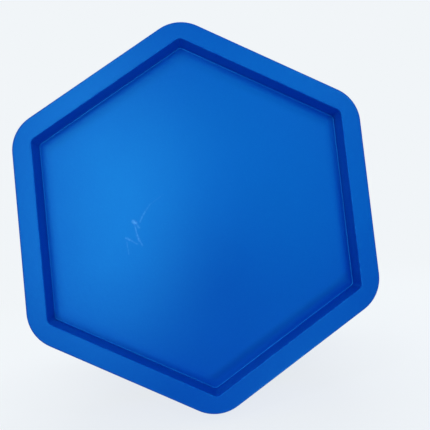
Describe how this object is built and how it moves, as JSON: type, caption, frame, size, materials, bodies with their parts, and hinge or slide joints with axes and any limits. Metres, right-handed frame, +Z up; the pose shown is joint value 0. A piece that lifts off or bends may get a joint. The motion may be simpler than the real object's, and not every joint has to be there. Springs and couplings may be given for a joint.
{
  "type": "rock tumbler barrel",
  "caption": "Hexagonal moulded barrel for tumbling stones: recessed closed end, rubber liner, round rubber-tyred track rings, and an expanding lid pulled tight by a hand knob.",
  "frame": {"origin": "centre of the object's bounding box, on the barrel's axis", "axes": "+Y along the barrel's axis from the closed end to the lid, +Z up as it lies on its track rings, +X to the right when the closed end is faced"},
  "size_m": [0.256, 0.288, 0.256],
  "materials": {
    "moulded_blue": "royal blue moulded plastic, satin with a fine moulded texture",
    "seal_rubber": "black moulded rubber, matt",
    "tyre_rubber": "black rubber band, matt, slightly ribbed",
    "zinc_steel": "bright zinc-plated steel",
    "brass": "turned brass",
    "knob_black": "black moulded plastic, satin"
  },
  "bodies": {
    "barrel": {"barrel_shell": "moulded_blue", "barrel_liner": "seal_rubber", "mouth_plate": "moulded_blue", "mouth_screw_1": "zinc_steel", "mouth_screw_2": "zinc_steel", "mouth_screw_3": "zinc_steel", "mouth_screw_4": "zinc_steel", "mouth_screw_5": "zinc_steel", "mouth_screw_6": "zinc_steel", "track_ring_front": "moulded_blue", "track_ring_rear": "moulded_blue", "tyre_front": "tyre_rubber", "tyre_rear": "tyre_rubber", "ring_front_screw_1": "zinc_steel", "ring_front_screw_2": "zinc_steel", "ring_front_screw_3": "zinc_steel", "ring_front_screw_4": "zinc_steel", "ring_front_screw_5": "zinc_steel", "ring_front_screw_6": "zinc_steel", "ring_rear_screw_1": "zinc_steel", "ring_rear_screw_2": "zinc_steel", "ring_rear_screw_3": "zinc_steel", "ring_rear_screw_4": "zinc_steel", "ring_rear_screw_5": "zinc_steel", "ring_rear_screw_6": "zinc_steel"},
    "lid": {"lid_seal": "seal_rubber", "lid_inner_plate": "zinc_steel", "lid_stud": "zinc_steel"},
    "cover": {"lid_cover": "zinc_steel", "stud_seal_washer": "seal_rubber", "flat_washer": "zinc_steel"},
    "knob": {"knob": "knob_black", "knob_insert": "brass"}
  },
  "joints": [
    {"name": "lid_pull", "type": "slide", "parent": "barrel", "child": "lid", "axis": [0, 1, 0], "range_m": [0, 0.15]},
    {"name": "cover_release", "type": "slide", "parent": "lid", "child": "cover", "axis": [0, 1, 0], "range_m": [0, 0.00375]},
    {"name": "knob_turn", "type": "hinge", "parent": "cover", "child": "knob", "pos_m": [0, 0.125, 0], "axis": [0, 1, 0], "range_deg": [0, 1080]}
  ],
  "couplings": [
    {"joint": "knob_turn", "follows": "cover_release", "rad_per_m": 5026.5}
  ]
}
